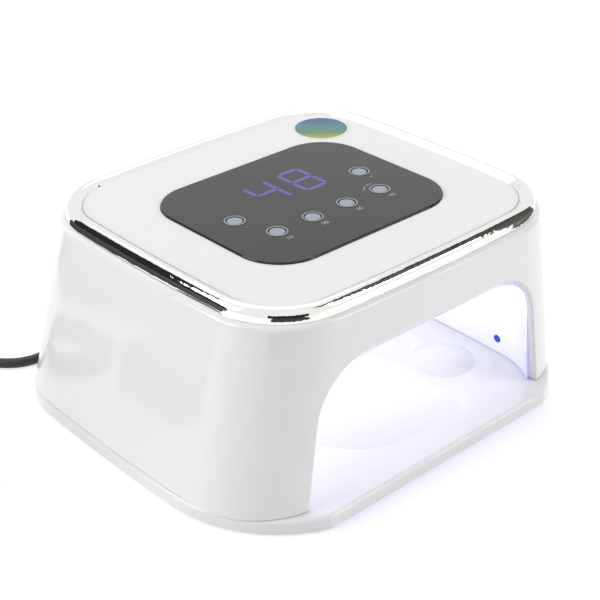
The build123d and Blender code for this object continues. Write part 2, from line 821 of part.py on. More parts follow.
# --- Cord ---
coil_outer = coil_mean_radius + coil_wide * cord_diameter / 2
coil_inner = coil_mean_radius - coil_wide * cord_diameter / 2
coil_height = coil_high * cord_diameter + coil_slack
tail_x = coil_centre[0] - coil_outer + cord_radius
tail_end = coil_centre[1] - adaptor_gap
adaptor_back = tail_end - adaptor_relief_length
floor_z = cord_radius + 0.1
coil_turn_radius = coil_mean_radius + (coil_wide - 1) * cord_radius
coil_entry = math.radians(coil_entry_angle)
route = [
    (relief_end, plug_axis_y, jack_z),
    (-45.5, plug_axis_y, 18.1),
    (-57.0, 104.8, 14.8),
    (-67.0, 104.5, 9.4),
    (-76.5, 104.2, 4.5),
    (-86.0, 104.0, floor_z),
    (-95.7, 106.6, floor_z),
    (-104.3, 111.6, floor_z),
    (-111.4, 118.7, floor_z),
    (-120.4, 135.2, floor_z),
    (
        coil_centre[0] + coil_turn_radius * math.cos(coil_entry),
        coil_centre[1] + coil_turn_radius * math.sin(coil_entry),
        floor_z,
    ),
]


def tube(points, label):
    """A round cord along straight runs joined by arcs that are as large as the runs allow."""
    places = [Vector(*p) for p in points]
    runs = [b - a for a, b in zip(places, places[1:])]
    radii = []
    for before, after in zip(runs, runs[1:]):
        turn = math.radians(before.get_angle(after))
        radii.append(0.45 * min(before.length, after.length) / math.tan(turn / 2))
    path = FilletPolyline(*places, radius=radii)
    section = Plane(origin=path @ 0, z_dir=path % 0) * Circle(cord_radius)
    solid = sweep(section, path=path)
    ideal = math.pi * cord_radius**2 * path.length
    print(label, "length", round(path.length, 1), "volume ratio", round(solid.volume / ideal, 4))
    print(label, "radii", [round(r, 1) for r in radii], "runs", [round(r.length, 1) for r in runs])
    return solid, path.length


def cord_coil():
    """The outer shape of the wound lead."""
    x, y = coil_centre
    ring = post(coil_outer, coil_stand, coil_height, x, y) - post(coil_inner, -1, coil_height + 1, x, y)
    return fillet(ring.edges(), cord_radius - 0.4)


def coil_tie():
    """The strap that holds the coil together."""
    x, y = coil_centre
    wide = coil_wide * cord_diameter + 2 * tie_play
    high = coil_height + 2 * tie_play
    hoop = Box(wide + 2 * tie_side, tie_width, high + 2 * tie_wall) - Box(wide, 2 * tie_width, high)
    hoop = Pos(coil_mean_radius, 0, high / 2 + tie_wall) * hoop
    return Pos(x, y, 0) * Rot(0, 0, tie_turn) * hoop


def adaptor():
    """The wall adaptor on the far end of the lead."""
    wide, deep, high = adaptor_size
    body = Pos(tail_x, adaptor_back - deep / 2, high / 2) * Box(wide, deep, high)
    return fillet(body.edges(), adaptor_round)


def adaptor_relief():
    """The tapering sleeve where the lead enters the adaptor."""
    plane = Plane(origin=(tail_x, adaptor_back, adaptor_exit_z), x_dir=(1, 0, 0), z_dir=(0, 1, 0))
    return plane * taper(cord_radius + adaptor_relief_wall, cord_radius + relief_wall, adaptor_relief_length)


def adaptor_pins():
    """The two flat mains pins."""
    thick, length, wide = pin_size
    front = adaptor_back - adaptor_size[1]
    for side in (-1, 1):
        pin = Box(thick, length, wide)
        pin = fillet(pin.edges().filter_by(Axis.X).group_by(Axis.Y)[0], pin_round)
        yield Pos(tail_x + side * pin_pitch / 2, front - length / 2, adaptor_size[2] / 2) * pin


def wire(points):
    """A thin inner wire with bent corners."""
    path = FilletPolyline(*points, radius=wire_bend)
    return sweep(Plane(origin=path @ 0, z_dir=path % 0) * Circle(wire_radius), path=path)


def wiring():
    """Wires from the ceiling's light board up to the control board."""
    low = liner_top + board_stand + board_thickness
    high = control_board_top - board_thickness
    middle = (low + high) / 2
    x, y = wire_place
    for i in range(wire_count):
        y += wire_pitch
        yield wire([(x, y, low), (x, y, middle), (x + wire_jog, y, middle), (x + wire_jog, y, high)])


def build():
    """Writes every sub-part."""
    os.makedirs("parts", exist_ok=True)
    write("tray", tray())
    write("tray_magnets", group(
        post(magnet_radius, tray_top - magnet_height - magnet_play, tray_top - magnet_play, x, y)
        for x, y in magnet_places
    ))
    write("rubber_feet", group(
        fillet(post(foot_radius, 0, foot_stand + foot_sink, x, y).edges().sort_by(Axis.Z)[0], foot_edge_round)
        for x, y in foot_places
    ))
    write("outer_housing", outer_housing())
    write("inner_liner", liner())
    write("foot_frame", foot_frame())
    write("foot_frame_screws", group(
        Pos(x, y, liner_foot + screw_head_height) * screw(frame_screw_length) for x, y in frame_screws
    ))
    write("lamp_magnets", group(
        post(magnet_radius, liner_foot, liner_foot + magnet_height, x, y) for x, y in magnet_places
    ))
    write("chrome_trim_ring", trim_ring())
    write("top_plate", top_plate())
    write("top_plate_screws", group(plate_screws()))
    write("panel_gasket", panel_gasket())
    write("panel_lens", panel_lens())
    write("key_bezels", group(key_bezels()))
    for name, x, y in keys():
        write(name, key(x, y))
    write("tact_switches", group(switches()))
    write("display_module", display_module())
    write("display_digits", group(display_digits()))
    write("control_board", control_board())
    write("control_board_chips", group(control_chips()))
    write("control_board_screws", group(control_screws()))
    write("round_badge", round_badge())
    for board in led_boards():
        write(board["name"] + "_led_board", light_board(board))
        write(board["name"] + "_leds", group(lights(board)))
    write("hand_sensors", group(sensors()))
    write("hand_sensor_boards", group(sensor_boards()))
    write("power_board", power_board())
    write("power_board_parts", group(power_parts()))
    write("power_board_screws", group(power_screws()))
    write("dc_jack", dc_jack())
    write("inner_wires", group(wiring()))
    write("dc_plug", dc_plug())
    write("plug_relief", plug_relief())
    cord, cord_length = tube(route, "power_cord")
    write("power_cord", cord)
    upper_z = floor_z + cord_diameter
    tail_points = [
        (tail_x, coil_centre[1] - 1, upper_z),
        (tail_x - 0.4, coil_centre[1] - 9.5, upper_z + 0.3),
        (tail_x - 0.4, coil_centre[1] - 18.5, adaptor_exit_z - 0.3),
        (tail_x, tail_end, adaptor_exit_z),
    ]
    tail, tail_length = tube(tail_points, "cord_tail")
    write("cord_tail", tail)
    write("cord_coil", cord_coil())
    write("coil_tie", coil_tie())
    write("adaptor", adaptor())
    write("adaptor_relief", adaptor_relief())
    write("adaptor_pins", group(adaptor_pins()))
    wound = lead_length - cord_length - tail_length
    print("turns in the coil", round(wound / (2 * math.pi * coil_mean_radius), 2))


build()
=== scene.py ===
import math

import bmesh
import bpy
from mathutils import Matrix, Vector


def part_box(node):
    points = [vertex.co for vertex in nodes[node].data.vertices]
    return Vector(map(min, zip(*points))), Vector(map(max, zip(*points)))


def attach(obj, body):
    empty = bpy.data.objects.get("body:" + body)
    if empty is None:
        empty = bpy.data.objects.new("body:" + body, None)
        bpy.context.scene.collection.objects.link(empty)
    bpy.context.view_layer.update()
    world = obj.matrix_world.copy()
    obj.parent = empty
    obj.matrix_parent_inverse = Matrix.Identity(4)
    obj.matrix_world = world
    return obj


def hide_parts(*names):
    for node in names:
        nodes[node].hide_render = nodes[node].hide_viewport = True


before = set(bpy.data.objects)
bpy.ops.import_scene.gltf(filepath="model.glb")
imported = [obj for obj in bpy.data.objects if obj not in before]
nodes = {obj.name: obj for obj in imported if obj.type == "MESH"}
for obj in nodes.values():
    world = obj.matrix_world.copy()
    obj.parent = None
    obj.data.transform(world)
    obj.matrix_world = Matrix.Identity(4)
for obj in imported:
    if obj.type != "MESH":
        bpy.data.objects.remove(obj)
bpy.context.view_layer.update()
scene = bpy.context.scene
mm = 0.001


# ---------------------------------------------------------------- node helpers
def new_material(name):
    """An empty node material with its output."""
    mat = bpy.data.materials.new(name)
    mat.use_nodes = True
    mat.node_tree.nodes.clear()
    out = mat.node_tree.nodes.new("ShaderNodeOutputMaterial")
    return mat, mat.node_tree, out


def add(tree, kind, values=None, **settings):
    """A node with its settings and its input values."""
    node = tree.nodes.new(kind)
    for key, value in settings.items():
        setattr(node, key, value)
    for key, value in (values or {}).items():
        node.inputs[key].default_value = value
    return node


def wire(tree, source, target):
    """A link from one socket to another."""
    tree.links.new(source, target)


def group_tree(name, ins, outs):
    """A shader node group with named inputs and outputs."""
    tree = bpy.data.node_groups.new(name, "ShaderNodeTree")
    for label, kind, value in ins:
        made = tree.interface.new_socket(label, in_out="INPUT", socket_type="NodeSocket" + kind)
        made.default_value = value
    for label, kind in outs:
        tree.interface.new_socket(label, in_out="OUTPUT", socket_type="NodeSocket" + kind)
    return tree, tree.nodes.new("NodeGroupInput"), tree.nodes.new("NodeGroupOutput")


# ---------------------------------------------------------------- shared effects
def make_finish_group():
    """Moulded skin: faint mottling, handling haze and a fine ripple, all in object space."""
    tree, inp, out = group_tree(
        "moulded finish",
        [
            ("Colour", "Color", (0.8, 0.8, 0.8, 1)),
            ("Mottle", "Float", 0.02),
            ("Mottle Size", "Float", 0.03),
            ("Roughness", "Float", 0.2),
            ("Haze", "Float", 0.05),
            ("Grain Size", "Float", 0.001),
        ],
        [("Colour", "Color"), ("Roughness", "Float"), ("Height", "Float")],
    )
    place = add(tree, "ShaderNodeTexCoord")
    per = add(tree, "ShaderNodeMath", {0: 1.0}, operation="DIVIDE")
    wire(tree, inp.outputs["Mottle Size"], per.inputs[1])
    broad = add(tree, "ShaderNodeTexNoise", {"Detail": 3.0, "Roughness": 0.55})
    wire(tree, place.outputs["Object"], broad.inputs["Vector"])
    wire(tree, per.outputs[0], broad.inputs["Scale"])
    span = add(tree, "ShaderNodeMath", {0: 1.0}, operation="SUBTRACT")
    wire(tree, inp.outputs["Mottle"], span.inputs[1])
    shade = add(tree, "ShaderNodeMapRange", {"From Min": 0.3, "From Max": 0.7, "To Max": 1.0})
    wire(tree, broad.outputs["Fac"], shade.inputs["Value"])
    wire(tree, span.outputs[0], shade.inputs["To Min"])
    tint = add(tree, "ShaderNodeMix", {0: 1.0}, data_type="RGBA", blend_type="MULTIPLY")
    wire(tree, inp.outputs["Colour"], tint.inputs["A"])
    wire(tree, shade.outputs["Result"], tint.inputs["B"])
    wire(tree, tint.outputs["Result"], out.inputs["Colour"])
    smear = add(tree, "ShaderNodeTexNoise",
                {"Scale": 38.0, "Detail": 5.0, "Roughness": 0.6, "Distortion": 0.6})
    wire(tree, place.outputs["Object"], smear.inputs["Vector"])
    haze = add(tree, "ShaderNodeMapRange", {"From Min": 0.42, "From Max": 0.7, "To Min": 0.0})
    wire(tree, smear.outputs["Fac"], haze.inputs["Value"])
    wire(tree, inp.outputs["Haze"], haze.inputs["To Max"])
    rough = add(tree, "ShaderNodeMath", operation="ADD")
    wire(tree, inp.outputs["Roughness"], rough.inputs[0])
    wire(tree, haze.outputs["Result"], rough.inputs[1])
    wire(tree, rough.outputs[0], out.inputs["Roughness"])
    fine = add(tree, "ShaderNodeMath", {0: 1.0}, operation="DIVIDE")
    wire(tree, inp.outputs["Grain Size"], fine.inputs[1])
    grain = add(tree, "ShaderNodeTexNoise", {"Detail": 2.0, "Roughness": 0.5})
    wire(tree, place.outputs["Object"], grain.inputs["Vector"])
    wire(tree, fine.outputs[0], grain.inputs["Scale"])
    wire(tree, grain.outputs["Fac"], out.inputs["Height"])
    return tree


finish_group = make_finish_group()


def moulded(name, colour, roughness, mottle=0.02, mottle_size=0.03, haze=0.04, grain=0.001,
            bump=0.02, bump_depth=0.0002, **sockets):
    """A material on the moulded finish, with constant settings on the shader's own sockets."""
    mat, tree, out = new_material(name)
    finish = add(tree, "ShaderNodeGroup", node_tree=finish_group)
    finish.inputs["Colour"].default_value = (*colour, 1)
    finish.inputs["Mottle"].default_value = mottle
    finish.inputs["Mottle Size"].default_value = mottle_size
    finish.inputs["Roughness"].default_value = roughness
    finish.inputs["Haze"].default_value = haze
    finish.inputs["Grain Size"].default_value = grain
    shader = add(tree, "ShaderNodeBsdfPrincipled")
    for key, value in sockets.items():
        shader.inputs[key.replace("_", " ")].default_value = value
    relief = add(tree, "ShaderNodeBump", {"Strength": bump, "Distance": bump_depth})
    wire(tree, finish.outputs["Colour"], shader.inputs["Base Color"])
    wire(tree, finish.outputs["Roughness"], shader.inputs["Roughness"])
    wire(tree, finish.outputs["Height"], relief.inputs["Height"])
    wire(tree, relief.outputs["Normal"], shader.inputs["Normal"])
    wire(tree, shader.outputs["BSDF"], out.inputs["Surface"])
    return mat


def coat(names, mat):
    """Gives CAD nodes a material."""
    for name in names:
        nodes[name].data.materials.clear()
        nodes[name].data.materials.append(mat)


# ---------------------------------------------------------------- materials
gloss_white = moulded("gloss white casing", (0.785, 0.775, 0.785), 0.10, mottle=0.012, haze=0.05,
                      grain=0.0035, bump=0.04, bump_depth=0.0003)
plate_white = moulded("gloss white plate", (0.785, 0.778, 0.79), 0.09, mottle=0.012, haze=0.05,
                      grain=0.0035, bump=0.03, bump_depth=0.0003)
frame_white = moulded("frame plastic", (0.7, 0.7, 0.71), 0.45, mottle=0.05, grain=0.0006, bump=0.2)
chrome = moulded("mirror plating", (0.86, 0.845, 0.825), 0.03, mottle=0.03, haze=0.03, grain=0.012,
                 bump=0.004, Metallic=1.0)
smoked = moulded("smoked panel", (0.014, 0.013, 0.015), 0.05, mottle=0.1, haze=0.04,
                 grain=0.004, bump=0.01)
foam = moulded("gasket foam", (0.02, 0.02, 0.02), 0.9, mottle=0.3, mottle_size=0.002,
               grain=0.0004, bump=0.6)
key_silver = moulded("key paint", (0.30, 0.34, 0.39), 0.32, mottle=0.08, mottle_size=0.003,
                     grain=0.0003, bump=0.15)
black_plastic = moulded("black moulding", (0.02, 0.02, 0.021), 0.4, mottle=0.2, mottle_size=0.01,
                        grain=0.0005, bump=0.3)
green_board = moulded("solder mask", (0.02, 0.13, 0.06), 0.3, mottle=0.25, mottle_size=0.004,
                      grain=0.001, bump=0.2)
white_board = moulded("white solder mask", (0.75, 0.76, 0.76), 0.35, mottle=0.08,
                      mottle_size=0.004, grain=0.001)
# The sensor window's blue emission is painted light: a glow on a part that is no lamp.
sensor_blue = moulded("sensor window", (0.01, 0.03, 0.35), 0.08, mottle=0.2, mottle_size=0.002,
                      Emission_Color=(0.02, 0.06, 0.8, 1), Emission_Strength=0.4)
steel = moulded("zinc plated steel", (0.6, 0.6, 0.62), 0.28, mottle=0.15, mottle_size=0.002,
                grain=0.0004, bump=0.2, Metallic=1.0)
nickel = moulded("nickel plate", (0.72, 0.70, 0.66), 0.14, mottle=0.08, mottle_size=0.004,
                 grain=0.0008, bump=0.1, Metallic=1.0)
foot_rubber = moulded("foot rubber", (0.03, 0.03, 0.03), 0.75, mottle=0.3, mottle_size=0.003,
                      grain=0.0005, bump=0.5)
wire_red = moulded("wire sheath", (0.5, 0.03, 0.03), 0.4, mottle=0.15, mottle_size=0.004)
cord_rubber = moulded("cord sheath", (0.018, 0.018, 0.019), 0.42, mottle=0.3, mottle_size=0.008,
                      haze=0.15, grain=0.0006, bump=0.25)
relief_rubber = moulded("relief rubber", (0.02, 0.02, 0.02), 0.55, mottle=0.3, mottle_size=0.005,
                        haze=0.1, grain=0.0005, bump=0.4)
plug_black = moulded("supply plastic", (0.022, 0.022, 0.024), 0.38, mottle=0.15, mottle_size=0.02,
                     haze=0.1, grain=0.0007, bump=0.5)
strap = moulded("hook and loop strap", (0.025, 0.025, 0.027), 0.95, mottle=0.5, mottle_size=0.001,
                grain=0.0003, bump=0.9)


def glow(name, colour, strength, base):
    """A lit plastic: a coloured base that also gives light."""
    return moulded(name, base, 0.25, mottle=0.1, mottle_size=0.002, grain=0.0008,
                   Emission_Color=(*colour, 1), Emission_Strength=strength)


digit_glow = glow("lit segment", (0.06, 0.04, 0.28), 1.0, (0.03, 0.025, 0.08))
led_glow = glow("light dome", (0.80, 0.78, 1.0), 2.0, (0.8, 0.8, 0.9))
label_paint = moulded("printed marks", (0.30, 0.30, 0.31), 0.4, mottle=0.1, mottle_size=0.002)


def colour_ramp(tree, stops):
    """A colour ramp with these places and colours."""
    ramp = add(tree, "ShaderNodeValToRGB")
    while len(ramp.color_ramp.elements) < len(stops):
        ramp.color_ramp.elements.new(0.5)
    for element, (at, colour) in zip(ramp.color_ramp.elements, stops):
        element.position = at
        element.color = (*colour, 1)
    return ramp


def make_liner():
    """The reflector with painted light: it glows brightest at the ceiling, fading down its walls, and more
    violet at the mouth, standing in for the lamps' light falling on it.
    """
    mat, tree, out = new_material("lit reflector")
    low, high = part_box("inner_liner")
    finish = add(tree, "ShaderNodeGroup", node_tree=finish_group)
    finish.inputs["Colour"].default_value = (0.82, 0.82, 0.88, 1)
    finish.inputs["Roughness"].default_value = 0.2
    place = add(tree, "ShaderNodeTexCoord")
    parts = add(tree, "ShaderNodeSeparateXYZ")
    wire(tree, place.outputs["Object"], parts.inputs[0])
    height = add(tree, "ShaderNodeMapRange", {"From Min": low.z, "From Max": high.z})
    wire(tree, parts.outputs["Z"], height.inputs["Value"])
    # Painted light: the glow runs from dim low on the walls to bright at the ceiling, as the lamps' light
    # falls.
    ramp = colour_ramp(tree, [
        (0.0, (0.24, 0.24, 0.31)), (0.35, (0.34, 0.345, 0.40)), (0.75, (0.56, 0.57, 0.62)),
        (1.0, (0.95, 0.96, 1.0)),
    ])
    wire(tree, height.outputs["Result"], ramp.inputs["Fac"])
    # Painted violet light at the mouth, where the lamps' light reaches the flange.
    violet_full, violet_gone = 2 * mm, 16 * mm      # how far in from the mouth
    depth = add(tree, "ShaderNodeMapRange", {"From Min": low.y + violet_full, "From Max": low.y + violet_gone,
                                             "To Min": 1.0, "To Max": 0.0})
    wire(tree, parts.outputs["Y"], depth.inputs["Value"])
    mix = add(tree, "ShaderNodeMix", data_type="RGBA")
    wire(tree, depth.outputs["Result"], mix.inputs[0])
    wire(tree, ramp.outputs["Color"], mix.inputs["A"])
    mix.inputs["B"].default_value = (0.13, 0.13, 0.36, 1)
    # This emission is painted light on a reflector, which is no lamp.
    shader = add(tree, "ShaderNodeBsdfPrincipled", {"Emission Strength": 0.85})
    wire(tree, finish.outputs["Colour"], shader.inputs["Base Color"])
    wire(tree, finish.outputs["Roughness"], shader.inputs["Roughness"])
    wire(tree, mix.outputs["Result"], shader.inputs["Emission Color"])
    wire(tree, shader.outputs["BSDF"], out.inputs["Surface"])
    return mat


def make_bezel():
    """The key rings: pale paint on the face, and bare black moulding down their sides."""
    mat, tree, out = new_material("key ring paint")
    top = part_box("key_bezels")[1].z
    place = add(tree, "ShaderNodeTexCoord")
    parts = add(tree, "ShaderNodeSeparateXYZ")
    wire(tree, place.outputs["Object"], parts.inputs[0])
    paint_low, paint_full = 0.10 * mm, 0.03 * mm    # below the face
    face = add(tree, "ShaderNodeMapRange", {"From Min": top - paint_low, "From Max": top - paint_full})
    wire(tree, parts.outputs["Z"], face.inputs["Value"])
    mix = add(tree, "ShaderNodeMix", data_type="RGBA")
    wire(tree, face.outputs["Result"], mix.inputs[0])
    mix.inputs["A"].default_value = (0.012, 0.012, 0.013, 1)
    mix.inputs["B"].default_value = (0.27, 0.28, 0.29, 1)
    finish = add(tree, "ShaderNodeGroup", node_tree=finish_group)
    finish.inputs["Roughness"].default_value = 0.35
    finish.inputs["Mottle"].default_value = 0.06
    finish.inputs["Mottle Size"].default_value = 0.002
    wire(tree, mix.outputs["Result"], finish.inputs["Colour"])
    shader = add(tree, "ShaderNodeBsdfPrincipled")
    wire(tree, finish.outputs["Colour"], shader.inputs["Base Color"])
    wire(tree, finish.outputs["Roughness"], shader.inputs["Roughness"])
    wire(tree, shader.outputs["BSDF"], out.inputs["Surface"])
    return mat


liner_painted_light = make_liner()
bezel_silver = make_bezel()


def make_badge():
    """A printed blend from blue at the rear through teal and green to yellow, with a pale rim."""
    mat, tree, out = new_material("badge print")
    low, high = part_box("round_badge")
    middle = (low + high) / 2
    radius = (high.x - low.x) / 2
    place = add(tree, "ShaderNodeTexCoord")
    centred = add(tree, "ShaderNodeVectorMath", {1: middle}, operation="SUBTRACT")
    wire(tree, place.outputs["Object"], centred.inputs[0])
    parts = add(tree, "ShaderNodeSeparateXYZ")
    wire(tree, centred.outputs[0], parts.inputs[0])
    wave = add(tree, "ShaderNodeTexNoise", {"Scale": 60.0, "Detail": 1.0})
    wire(tree, place.outputs["Object"], wave.inputs["Vector"])
    slope = add(tree, "ShaderNodeVectorMath", {1: (0.65, 0.75, 0.0)}, operation="DOT_PRODUCT")
    wire(tree, centred.outputs[0], slope.inputs[0])
    along = add(tree, "ShaderNodeMapRange", {"From Min": -radius, "From Max": radius})
    wire(tree, slope.outputs["Value"], along.inputs["Value"])
    shifted = add(tree, "ShaderNodeMath", {1: 0.12}, operation="MULTIPLY_ADD")
    wire(tree, wave.outputs["Fac"], shifted.inputs[0])
    wire(tree, along.outputs["Result"], shifted.inputs[2])
    ramp = colour_ramp(tree, [
        (0.04, (0.40, 0.40, 0.05)), (0.20, (0.26, 0.31, 0.05)), (0.34, (0.10, 0.22, 0.07)),
        (0.50, (0.05, 0.21, 0.18)), (0.66, (0.04, 0.19, 0.25)), (0.84, (0.03, 0.12, 0.26)),
        (0.98, (0.02, 0.09, 0.24)),
    ])
    wire(tree, shifted.outputs[0], ramp.inputs["Fac"])
    flat = add(tree, "ShaderNodeCombineXYZ")
    wire(tree, parts.outputs["X"], flat.inputs["X"])
    wire(tree, parts.outputs["Y"], flat.inputs["Y"])
    reach = add(tree, "ShaderNodeVectorMath", operation="LENGTH")
    wire(tree, flat.outputs[0], reach.inputs[0])
    rim = add(tree, "ShaderNodeMapRange", {"From Min": radius * 0.93, "From Max": radius * 0.96})
    wire(tree, reach.outputs["Value"], rim.inputs["Value"])
    mix = add(tree, "ShaderNodeMix", data_type="RGBA")
    wire(tree, rim.outputs["Result"], mix.inputs[0])
    wire(tree, ramp.outputs["Color"], mix.inputs["A"])
    mix.inputs["B"].default_value = (0.72, 0.76, 0.78, 1)
    finish = add(tree, "ShaderNodeGroup", node_tree=finish_group)
    finish.inputs["Roughness"].default_value = 0.2
    wire(tree, mix.outputs["Result"], finish.inputs["Colour"])
    shader = add(tree, "ShaderNodeBsdfPrincipled")
    wire(tree, finish.outputs["Colour"], shader.inputs["Base Color"])
    wire(tree, finish.outputs["Roughness"], shader.inputs["Roughness"])
    wire(tree, shader.outputs["BSDF"], out.inputs["Surface"])
    return mat


coat(["outer_housing", "tray"], gloss_white)
coat(["top_plate"], plate_white)
coat(["inner_liner"], liner_painted_light)
coat(["foot_frame"], frame_white)
coat(["chrome_trim_ring"], chrome)
coat(["panel_lens"], smoked)
coat(["panel_gasket"], foam)
coat(["key_bezels"], bezel_silver)
coat([n for n in nodes if n.startswith("key_") and n != "key_bezels"], key_silver)
coat(["tact_switches", "display_module", "power_board_parts", "control_board_chips", "dc_jack"],
     black_plastic)
coat(["control_board", "power_board"], green_board)
coat([n for n in nodes if n.endswith("_led_board")] + ["hand_sensor_boards"], white_board)
coat([n for n in nodes if n.endswith("_leds")], led_glow)
coat(["hand_sensors"], sensor_blue)
coat([n for n in nodes if n.endswith("_screws")], steel)
coat(["lamp_magnets", "tray_magnets", "adaptor_pins"], nickel)
coat(["rubber_feet"], foot_rubber)
coat(["round_badge"], make_badge())
coat(["inner_wires"], wire_red)
coat(["dc_plug", "adaptor"], plug_black)
coat(["plug_relief", "adaptor_relief"], relief_rubber)
coat(["coil_tie"], strap)


# ---------------------------------------------------------------- supply lead
cord_diameter = 5.2 * mm            # the values below are in millimetres
coil_centre = (-163.0, 136.0)
coil_mean_radius = 30.9
coil_entry = math.radians(30)       # round the coil, where the lead runs into its outer turn
coil_end = math.radians(180)        # where it leaves the coil again
coil_whole_turns = 5
floor_z = 2.7                       # the cord's middle where it lies on the floor
upper_z = floor_z + cord_diameter / mm
relief_low, relief_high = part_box("plug_relief")
relief_middle = (relief_low + relief_high) / 2
relief_end = (relief_low.x / mm, relief_middle.y / mm, relief_middle.z / mm)
route = [
    relief_end,
    (-45.5, 104.9, 18.1),
    (-57.0, 104.8, 14.8),
    (-67.0, 104.4, 9.4),
    (-76.5, 103.7, 4.5),
    (-86.0, 102.5, floor_z),
    (-95.8, 104.6, floor_z),
    (-103.2, 109.8, floor_z),
    (-109.2, 117.8, floor_z),
    (-119.6, 135.4, floor_z),
]


def clamp(value, low, high):
    """The value, held between two limits."""
    return max(low, min(high, value))


def coil_points():
    """The wound turns: three below, going inwards, and then three above, going outwards."""
    per_turn = 16
    pitch = cord_diameter / mm
    turns = coil_whole_turns + (coil_end - coil_entry) / (2 * math.pi)
    inward_from, outward_from, climb_from, climb_turns = 0.35, 3.05, 2.35, 0.6
    steps = round(turns * per_turn)
    for k in range(steps + 1):
        t = k * turns / steps
        steps_in = clamp(t - inward_from, 0, 2) - clamp(t - outward_from, 0, 2)
        radius = coil_mean_radius + pitch * (1 - steps_in)
        climb = clamp((t - climb_from) / climb_turns, 0, 1)
        height = floor_z + pitch * climb * climb * (3 - 2 * climb)
        angle = coil_entry + 2 * math.pi * t
        yield (coil_centre[0] + radius * math.cos(angle),
               coil_centre[1] + radius * math.sin(angle), height)


def lead_curve():
    """The supply lead as one smooth spline, from the plug's relief to the adaptor's."""
    low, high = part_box("adaptor_relief")
    end = ((low.x + high.x) / 2 / mm, high.y / mm, (low.z + high.z) / 2 / mm)
    tail = [
        (end[0] - 0.4, end[1] + 17.5, upper_z + 0.3),
        (end[0] - 0.4, end[1] + 8.5, end[2] - 0.3),
        end,
    ]
    points = route + list(coil_points()) + tail
    curve = bpy.data.curves.new("supply_lead", "CURVE")
    curve.dimensions = "3D"
    spline = curve.splines.new("NURBS")
    spline.points.add(len(points) - 1)
    for target, point in zip(spline.points, points):
        target.co = (*(c * mm for c in point), 1)
    spline.order_u = 3
    spline.use_endpoint_u = True
    spline.resolution_u = 6
    curve.bevel_depth = cord_diameter / 2
    curve.bevel_resolution = 6
    curve.use_fill_caps = True
    obj = bpy.data.objects.new("supply_lead", curve)
    scene.collection.objects.link(obj)
    curve.materials.append(cord_rubber)
    return obj


lead = lead_curve()
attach(lead, "lamp_head")
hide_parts("power_cord", "cord_coil", "cord_tail")


# ---------------------------------------------------------------- raised display and printed marks
lens_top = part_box("panel_lens")[1].z
mark_skin = 0.03 * mm               # thickness of a printed mark or a lit bar
digit_lift = 0.01 * mm


def piece(name, mesh, mat, body="lamp_head"):
    """A finished piece at the origin that rides on its body."""
    obj = bpy.data.objects.new(name, mesh)
    scene.collection.objects.link(obj)
    mesh.materials.clear()
    mesh.materials.append(mat)
    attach(obj, body)
    return obj


def lit_digits():
    """The lit bars, brought up to the face of the panel."""
    mesh = nodes["display_digits"].data.copy()
    form = bmesh.new()
    form.from_mesh(mesh)
    bmesh.ops.remove_doubles(form, verts=form.verts, dist=1e-6)
    low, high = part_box("display_digits")
    for vert in form.verts:
        share = (vert.co.z - low.z) / (high.z - low.z)
        vert.co.z = lens_top + digit_lift + mark_skin * share
    form.to_mesh(mesh)
    form.free()
    obj = piece("lit_digits", mesh, digit_glow)
    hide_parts("display_digits")


def text_mesh(body, size, thickness):
    """Raised characters as a mesh about the origin."""
    curve = bpy.data.curves.new("mark", "FONT")
    curve.body = body
    curve.size = size
    curve.align_x = "CENTER"
    curve.align_y = "CENTER"
    curve.extrude = thickness / 2
    curve.offset = 0.02 * size
    obj = bpy.data.objects.new("mark", curve)
    scene.collection.objects.link(obj)
    bpy.context.view_layer.update()
    mesh = bpy.data.meshes.new_from_object(obj.evaluated_get(bpy.context.evaluated_depsgraph_get()))
    bpy.data.objects.remove(obj)
    return mesh


def key_centre(name):
    """The middle of a key, in plan."""
    low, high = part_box(name)
    return Vector(((low.x + high.x) / 2, (low.y + high.y) / 2, 0))


def printed_marks():
    """The seconds printed in front of the row keys, a sign at each end key and two arcs round the last."""
    number_size, number_below = 3.6 * mm, 8.6 * mm
    sign_size, sign_below = 3.2 * mm, 8.4 * mm
    arc_radius, arc_width = 7.5 * mm, 0.6 * mm
    rows = enumerate(("10", "30", "60", "99"), 1)
    marks = [(f"key_row_{number}", seconds, number_size, number_below) for number, seconds in rows]
    marks += [("key_left", "-", sign_size, sign_below), ("key_right", "+", sign_size, sign_below)]
    form = bmesh.new()
    for name, characters, size, below in marks:
        mesh = text_mesh(characters, size, mark_skin)
        mesh.transform(Matrix.Translation(key_centre(name) + Vector((0, -below, lens_top + mark_skin))))
        form.from_mesh(mesh)
    around = key_centre("key_row_4")
    for start, end in ((80, 105), (115, 150)):
        arc_strip(form, around, arc_radius, arc_width, math.radians(start), math.radians(end),
                  lens_top, 1.5 * mark_skin)
    mesh = bpy.data.meshes.new("printed_marks")
    form.to_mesh(mesh)
    form.free()
    piece("printed_marks", mesh, label_paint)


def arc_strip(form, around, radius, width, start, end, low, thickness):
    """A thin closed strip along an arc."""
    steps = 16
    rings = []
    for k in range(steps + 1):
        angle = start + (end - start) * k / steps
        out = Vector((math.cos(angle), math.sin(angle), 0))
        ring = []
        for side, height in ((-0.5, 0), (0.5, 0), (0.5, thickness), (-0.5, thickness)):
            place = around + out * (radius + side * width)
            ring.append(form.verts.new((place.x, place.y, low + height)))
        rings.append(ring)
    for a, b in zip(rings, rings[1:]):
        for i in range(4):
            form.faces.new((a[i], b[i], b[(i + 1) % 4], a[(i + 1) % 4]))
    form.faces.new(rings[0])
    form.faces.new(reversed(rings[-1]))


lit_digits()
printed_marks()


# ---------------------------------------------------------------- ribbed sleeves, strap and grip ridges
def socket(tree, label, kind, value=None):
    """A named input on a geometry tree."""
    made = tree.interface.new_socket(label, in_out="INPUT", socket_type="NodeSocket" + kind)
    if value is not None:
        made.default_value = value
    return made.identifier


def math_node(tree, operation, first, second):
    """A maths node fed by sockets or plain values."""
    node = tree.nodes.new("ShaderNodeMath")
    node.operation = operation
    for index, value in enumerate((first, second)):
        if isinstance(value, (int, float)):
            node.inputs[index].default_value = value
        else:
            tree.links.new(value, node.inputs[index])
    return node.outputs[0]


